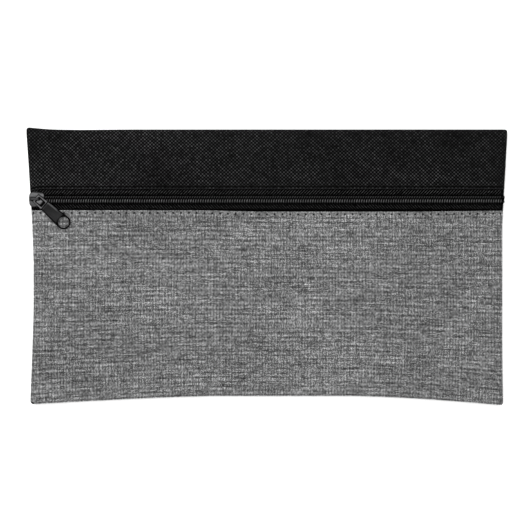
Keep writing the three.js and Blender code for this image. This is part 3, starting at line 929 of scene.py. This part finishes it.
def coil_stitch_piece(side, half, material):
    """The sewing that holds a coil to its tape: a thread that crosses each loop on a slant and goes
    down through the tape beside it."""
    steps = np.linspace(0, 1, 8)
    parts = []
    for place in loops_of(half, side):
        along = place + (steps - 0.5) * COIL_STITCH["slant"]
        y = COIL_STITCH["y"] + COIL_STITCH["width"] * steps
        height = COIL_HIGH[2] - COIL_LEVEL - 0.15 + 0.16 * np.sin(math.pi * steps)
        parts.append(tube(chain_path(side, along, y, height), COIL_STITCH["radius"], 6))
    points, faces = joined(parts)
    return new_object(f"coil_stitching_{zip_side(side)}_{half}", points, faces, material)


def part_zipper(pieces, side, half):
    """Gives each piece of one quarter of the zipper a mesh of its own."""
    end = HALF_END[half]
    anchor = (end * CHAIN_END * MM, (ZIP_Y + side * ZIP_GAPE["still"]) * MM, COIL_LEVEL * MM)
    for piece in pieces:
        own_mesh(piece)


def make_zipper():
    nylon_looks = {side: nylon(side) for side in (1, -1)}
    cord_look = thread("filler_cord_yarn", 0.002)
    # Painted highlight: the coil threads are painted paler than the black sewing thread, the upper one
    # most.
    stitch_looks = {1: thread("coil_thread_upper", 0.045), -1: thread("coil_thread_lower", 0.02)}
    # Painted light: the upper tape's ridge highlight is painted paler than the lower tape's.
    tapes = {1: twill_tape(1, 0.024), -1: twill_tape(-1, 0.016)}
    for side in (1, -1):
        for half in HALF_END:
            tape = tape_piece(side, half, tapes[side])
            coil = coil_piece(side, half, nylon_looks[side])
            cord = filler_cord_piece(side, half, cord_look)
            stitches = coil_stitch_piece(side, half, stitch_looks[side])
            belongs(tape, "pouch", f"zipper_tape_{zip_side(side)}")
            belongs(coil, "pouch", f"zipper_coil_{zip_side(side)}")
            belongs(cord, "pouch", f"coil_filler_cord_{zip_side(side)}")
            belongs(stitches, "pouch", f"coil_stitching_{zip_side(side)}")
            width = (TAPE_HIGH[1] - ZIP_Y - TAPE_INNER) * MM
            part_zipper([tape, coil, cord, stitches], side, half)


# ---------------------------------------------------------------- sewing

def surface_height(rise, x, y):
    inward = np.minimum(x + end_x(-1, y), end_x(1, y) - x)
    return SEAM_Z + SEAM_GAP + EDGE_RADIUS + rise(x, y, inward)


def upper_stitch_y(x):
    return upper_hem_y(x) + UPPER_STITCH_INSET


def lower_stitch_y(x):
    return lower_hem_y(x) - TOPSTITCH_INSET


def topstitch_piece(name, y_of, rise, material):
    """A row of separate stitches, each a thread that comes up from one hole and goes down in the next."""
    end = int(node_box("topstitch_upper")[1][0] / STITCH_PITCH)
    steps = np.linspace(0, 1, 9)
    parts = []
    for index in range(-end, end):
        x = (index + 0.5 + (steps - 0.5) * STITCH_LENGTH) * STITCH_PITCH
        y = y_of(x)
        dip = np.sin(math.pi * steps) ** 0.6
        z = surface_height(rise, x, y) - 0.3 + 0.36 * dip
        parts.append(tube(np.stack([x, y, z], axis=1), STITCH_RADIUS, 8))
    points, faces = joined(parts)
    return new_object(name, points, faces, material)


def seam_thread_piece(name, path, material):
    """A line of lock stitches in a seam, as a cord that swells at each stitch."""
    path = np.asarray(path, float)
    lengths = np.concatenate([[0], np.cumsum(np.linalg.norm(np.diff(path, axis=0), axis=1))])
    places = np.arange(0, lengths[-1], 0.5)
    spots = np.stack([np.interp(places, lengths, path[:, axis]) for axis in range(3)], axis=1)
    swell = 0.13 + 0.06 * np.abs(np.sin(math.pi * places / 3))
    points, faces = tube(spots, swell, 6)
    return new_object(name, points, faces, material)


def make_sewing():
    black = thread("sewing_thread_black", 0.006)
    grey = thread("sewing_thread_grey", 0.16)
    upper = topstitch_piece("topstitch_upper_thread", upper_stitch_y, band_rise, black)
    lower = topstitch_piece("topstitch_lower_thread", lower_stitch_y, front_rise, grey)
    belongs(upper, "pouch", "topstitch_upper")
    belongs(lower, "pouch", "topstitch_lower")
    inset = EDGE_RADIUS + SEAM_THREAD_INSET
    paths = {}
    for side, node in ((-1, "side_seam_thread_left"), (1, "side_seam_thread_right")):
        low, high = node_box(node)
        ys = np.linspace(low[1], high[1], 60)
        paths[node] = np.stack([side * (end_x(side, ys) - inset), ys, SEAM_Z + 0 * ys], axis=1)
    low, high = node_box("bottom_seam_thread")
    xs = np.linspace(low[0], high[0], 90)
    paths["bottom_seam_thread"] = np.stack([xs, bottom_y(xs) + inset, SEAM_Z + 0 * xs], axis=1)
    for node, path in paths.items():
        belongs(seam_thread_piece(f"{node}_line", path, black), "pouch", node)


def make_cloth():
    """The two panels. It works out their flat depths, which allow for the hem and for each rolled edge."""
    back = panel_piece("back_and_top_panel_cloth", "back", oxford_cloth())
    front = panel_piece("front_lower_panel_cloth", "front", heather_cloth())
    belongs(back, "pouch", "back_and_top_panel")
    belongs(front, "pouch", "front_lower_panel")
    back_depth = (TOP_Y - UPPER_HEM_Y) + (TOP_Y - BOTTOM_Y) + HEM_DEPTH + 4
    back_depth * MM
    front_depth = LOWER_HEM_Y - BOTTOM_Y + HEM_DEPTH + 2
    front_depth * MM


# ---------------------------------------------------------------- the slider

def ribbon(path, half):
    """A closed outline: a flat path given a thickness, with round ends."""
    path = np.asarray(path, float)
    ahead = headings(path)
    normal = np.stack([-ahead[:, 1], ahead[:, 0]], axis=1)

    def cap(centre, out):
        start = math.atan2(out[1], out[0])
        return arc(centre, half, start, start - math.pi, 6)[1:-1]

    sides = path + normal * half, (path - normal * half)[::-1]
    return np.concatenate([sides[0], cap(path[-1], normal[-1]), sides[1], cap(path[0], -normal[0])])


def loft(sections):
    """A closed solid through matching outlines."""
    count = len(sections[0])
    points = np.concatenate(sections)
    faces = grid_faces(len(sections), count, around=True)
    faces.append(tuple(range(count - 1, -1, -1)))
    faces.append(tuple(range(len(points) - count, len(points))))
    return points, faces


def plate_half(x, nose):
    """Half the slider plate's width at x from its nose: round shoulders, and a slight taper to the tail."""
    along = np.sqrt(share(nose, nose + SHOULDER_X, x))
    third = SHOULDER_HALF / 3
    shoulder = third * (1 - along) ** 2 + SHOULDER_HALF * (1 - (1 - along) ** 2)
    taper = SHOULDER_HALF + (TAIL_HALF - SHOULDER_HALF) * share(nose + SHOULDER_X, SLIDER_LENGTH, x)
    tail = (np.sqrt(1 - share(SLIDER_LENGTH - TAIL_ROUND, SLIDER_LENGTH, x) ** 2) - 1) * TAIL_ROUND
    return np.minimum(shoulder, taper) + tail


def plate_stations(nose):
    shoulder = nose + SHOULDER_X * np.linspace(0, 1, 12) ** 2
    tail = SLIDER_LENGTH - TAIL_ROUND
    body = np.linspace(nose + SHOULDER_X, tail, 8)[1:]
    rounding = tail + TAIL_ROUND * np.sin(np.linspace(0, math.pi / 2 - 0.05, 8))[1:]
    return np.concatenate([shoulder, body, rounding])


def plate(nose, z, flanges):
    """One slider plate as a loft of slices across it: rounded edges, a faint crown, and where it has
    flanges, sides that turn down beside the channel."""
    level = (z[0] + z[1]) / 2
    across = np.linspace(-1, 1, 15)
    crown = 0.14 * np.sin(math.pi * np.abs(across)) ** 2
    sections = []
    for x in plate_stations(nose):
        from_end = min(x - nose, SLIDER_LENGTH - x)
        round_end = share(0, PLATE_ROUND, from_end)
        thick = (z[1] - z[0]) / 2 * math.sqrt(1 - (1 - round_end) ** 2 * 0.8)
        half = plate_half(x, nose) - FLANGE_HALF
        path = [(a * half, level) for a in across]
        if flanges:
            top = [(a * (half - 0.3), level - 0.12 + c) for a, c in zip(across, crown)]
            turned = share(0.9, 2.6, x) * share(SLIDER_LENGTH, SLIDER_LENGTH - 1.0, x)
            down = 0.06 + (level - 0.36 - FLANGE_Z - FLANGE_HALF) * turned
            side = [(half, level - 0.35 - down * step) for step in np.linspace(0, 1, 5)]
            path = [(-y, h) for y, h in side[::-1]] + top + side
            thick = min(thick, FLANGE_HALF + 0.03)
        y, height = ribbon(path, thick).T
        sections.append(np.stack([np.full(len(y), NOSE_X + x), ZIP_Y + y, height], axis=1))
    return loft(sections)


def rounded_section(half_width, half_height, count=16, power=3.0):
    """A rounded rectangle about the origin."""
    turns = np.linspace(0, 2 * math.pi, count, endpoint=False)
    cos, sin = np.cos(turns), np.sin(turns)
    reach = (np.abs(cos) ** power + np.abs(sin) ** power) ** (-1 / power)
    return np.stack([half_width * cos * reach, half_height * sin * reach], axis=1)


def bridge():
    """The arch that holds the pull: a flat bar bent over two round corners."""
    low = UPPER_PLATE_Z[1] - 0.35
    high = BRIDGE["top"] - BRIDGE["thickness"] / 2
    start = BRIDGE["from"] + BRIDGE["thickness"] / 2
    end = BRIDGE["to"] - BRIDGE["thickness"] / 2
    corner = BRIDGE["corner"] - BRIDGE["thickness"] / 2
    first = arc((start + corner, high - corner), corner, math.pi, math.pi / 2, 8)
    second = arc((end - corner, high - corner), corner, math.pi / 2, 0, 8)
    rise = [(start, h) for h in np.linspace(low, high - corner, 4)[:-1]]
    fall = [(end, h) for h in np.linspace(high - corner, low, 4)[1:]]
    path = np.array(rise + first + second + fall)
    section = rounded_section(BRIDGE["half"], BRIDGE["thickness"] / 2)
    sections = []
    for (x, z), (dx, dz) in zip(path, headings(path)):
        out = section[:, 1]
        points = np.stack([NOSE_X + x - dz * out, ZIP_Y + section[:, 0], z + dx * out], axis=1)
        sections.append(points)
    return loft(sections)


def post():
    """The wedge between the plates that parts the coils."""
    turns = np.linspace(0, 2 * math.pi, 16, endpoint=False)
    centre = (POST["from"] + POST["to"]) / 2
    reach = (POST["to"] - POST["from"]) / 2
    x = NOSE_X + centre + reach * np.cos(turns)
    y = ZIP_Y + POST["half"] * np.sin(turns)
    levels = [LOWER_PLATE_Z[1] - 0.3, UPPER_PLATE_Z[0] + 0.3]
    return loft([np.stack([x, y, np.full(16, level)], axis=1) for level in levels])


def united(name, parts, material):
    """Closed parts made into one solid, rounded only by their own shapes."""
    pieces = [merged(f"{name}_{index}", *part, material) for index, part in enumerate(parts)]
    whole = pieces[0]
    whole.name = name
    for other in pieces[1:]:
        join(whole, other, "UNION")
    shade_by_angle(whole)
    return whole


def join(whole, other, operation):
    step = whole.modifiers.new("join", "BOOLEAN")
    step.operation = operation
    step.solver = "EXACT"
    step.object = other
    mesh = mesh_of(whole)
    whole.modifiers.clear()
    whole.data = mesh
    bpy.data.objects.remove(other)


def shade_by_angle(piece):
    mesh = piece.data
    mesh.polygons.foreach_set("use_smooth", [True] * len(mesh.polygons))
    mesh.set_sharp_from_angle(angle=math.radians(SMOOTH_ANGLE))


def flat_plate(name, outlines, z, bevel, material):
    """A plate with bevelled edges from closed outlines, where each after the first is a hole."""
    curve = bpy.data.curves.new(name, "CURVE")
    curve.dimensions = "2D"
    curve.fill_mode = "BOTH"
    curve.extrude = ((z[1] - z[0]) / 2 - bevel) * MM
    curve.bevel_depth = bevel * MM
    curve.bevel_resolution = 2
    curve.offset = -bevel * MM
    for outline in outlines:
        spline = curve.splines.new("POLY")
        spline.points.add(len(outline) - 1)
        spline.use_cyclic_u = True
        for point, (x, y) in zip(spline.points, outline):
            point.co = (x * MM, y * MM, 0, 1)
    holder = placed(name, curve)
    mesh = mesh_of(holder)
    bpy.data.objects.remove(holder)
    points = np.array([vertex.co for vertex in mesh.vertices]) / MM + [0, 0, (z[0] + z[1]) / 2]
    return merged(name, points, [tuple(face.vertices) for face in mesh.polygons], material)


def merged(name, points, faces, material):
    """An object whose doubled points are made one."""
    piece = new_object(name, points, faces, material)
    work = bmesh.new()
    work.from_mesh(piece.data)
    bmesh.ops.remove_doubles(work, verts=work.verts, dist=1e-6)
    bmesh.ops.recalc_face_normals(work, faces=work.faces)
    work.to_mesh(piece.data)
    work.free()
    return piece


def pull_outline(start):
    """The pull's plan: a head with round corners that widens to a ring."""
    head = PULL_HEAD_HALF
    ring = PULL_RING["outer"]
    centre = PULL_RING["x"]
    corner = 0.5
    lean = math.asin((ring - head) / (centre - start))
    eye_side = arc((centre, 0), ring, -math.pi / 2 - lean, math.pi / 2 + lean, 40)
    upper = arc((start + corner, head - corner), corner, math.pi / 2, math.pi, 5)
    return eye_side + upper + [(x, -y) for x, y in upper[::-1]]


def round_box(x0, x1, half, corner):
    """A rectangle with round corners, from x0 to x1 along and half each side of the middle."""
    outline = []
    centres = [(x1 - corner, half - corner), (x0 + corner, half - corner)]
    centres += [(x, -y) for x, y in centres[::-1]]
    for quarter, centre in enumerate(centres):
        start = quarter * math.pi / 2
        outline += arc(centre, corner, start, start + math.pi / 2, 5)
    return outline


def pull_half(x):
    """Half the pull's width at x from its hinge, as it widens to its ring."""
    return PULL_HEAD_HALF + (PULL_RING["outer"] - PULL_HEAD_HALF) * (x / PULL_RING["x"])


def pull_piece(material):
    """The pull, flat at the origin with its hinge line on Y: window, groove, sunk blade and ring."""
    top = PULL_THICKNESS / 2
    window_end = PULL_BAR_HALF + PULL_WINDOW["length"]
    window = round_box(PULL_BAR_HALF, window_end, PULL_WINDOW["half"], PULL_WINDOW["corner"])
    middle_of_ring = (PULL_RING["x"], 0)
    eye = arc(middle_of_ring, PULL_RING["inner"], 0, 2 * math.pi, 41)[:-1]
    outlines = [pull_outline(-PULL_BAR_HALF), window, eye]
    blank = flat_plate("pull_tab_metal", outlines, [-top, top], PULL_BEVEL, material)
    rim = PULL_RECESS["rim"]
    start = PULL_RECESS["from"]
    wide = pull_half(start) - rim
    wider = pull_half(PULL_RING["x"] - PULL_RING["inner"] - rim * 1.1) - rim
    curved = arc(middle_of_ring, PULL_RING["inner"] + rim, math.pi + 0.62, math.pi - 0.62, 12)
    pocket = [(start, -wide), *[(x, y) for x, y in curved if abs(y) <= wider], (start, wide)]
    half = PULL_GROOVE["width"] / 2
    groove = [(PULL_GROOVE["x"] + a * half, b * 5) for a, b in ((-1, -1), (1, -1), (1, 1), (-1, 1))]
    sunk = top - PULL_RECESS["depth"]
    cuts = [(pocket, [sunk, top + 1]), (pocket, [-top - 1, -sunk])]
    cuts.append((groove, [top - PULL_GROOVE["depth"], top + 1]))
    for outline, z in cuts:
        join(blank, flat_plate("cut", [outline], z, 0.05, material), "DIFFERENCE")
    shade_by_angle(blank)
    return blank


def make_slider():
    hinge = next(joint for joint in frame["record"]["behaviour"]["joints"] if joint["name"] == "pull_lift")
    place = Vector(hinge["pos_m"])
    along = Vector((-hinge["axis"][1], hinge["axis"][0], 0))
    turn = math.atan2(along.y, along.x)
    metal = slider_metal(place / MM, turn)
    parts = [plate(0, UPPER_PLATE_Z, True), plate(LOWER_PLATE_NOSE, LOWER_PLATE_Z, False), post(), bridge()]
    slider = united("slider_body_metal", parts, metal)
    belongs(slider, "slider", "slider_body")
    pull = pull_piece(pull_metal(place / MM, turn))
    pull.data.transform(Matrix.Translation(place) @ Matrix.Rotation(turn, 4, "Z"))
    belongs(pull, "pull", "pull_tab")


# ---------------------------------------------------------------- the room

def make_camera():
    camera = bpy.data.cameras.new("camera")
    camera.lens = LENS
    camera.sensor_width = SENSOR
    camera.clip_start = 0.02
    holder = placed("camera", camera)
    distance = VIEW_WIDTH * LENS / SENSOR
    low, high = np.array(CAD_BOX[0]) / MM, np.array(CAD_BOX[1]) / MM
    x = (low[0] + high[0]) / 2 + VIEW_SHIFT[0]
    y = (low[1] + high[1]) / 2 + VIEW_SHIFT[1]
    holder.location = (x * MM, y * MM, (SEAM_Z + distance) * MM)
    bpy.context.scene.camera = holder


def lamp(name, place, size, power):
    """A square soft light that faces the case."""
    light = bpy.data.lights.new(name, "AREA")
    light.shape = "SQUARE"
    light.size = size * MM
    light.energy = power
    holder = placed(name, light)
    holder.location = [coordinate * MM for coordinate in place]
    holder.rotation_euler = (-Vector(holder.location)).to_track_quat("-Z", "Y").to_euler()


def make_room():
    world = bpy.data.worlds.new("studio")
    world.use_nodes = True
    light = world.node_tree.nodes["Background"].inputs
    light["Color"].default_value = (1, 1, 1, 1)
    light["Strength"].default_value = 0.3
    bpy.context.scene.world = world
    lamp("key", (-450, 500, 1250), 1000, 24)
    lamp("fill", (750, 150, 1200), 1000, 9)
    lamp("front", (-100, -750, 1150), 1000, 11)
    bpy.context.scene.view_settings.view_transform = "Standard"
    corners = [(x * FLOOR_HALF, y * FLOOR_HALF, 0) for x, y in ((-1, -1), (1, -1), (1, 1), (-1, 1))]
    floor = new_object("floor", corners, [(0, 1, 2, 3)], floor_paper())


make_camera()
make_cloth()
make_zipper()
make_sewing()
make_slider()
make_room()
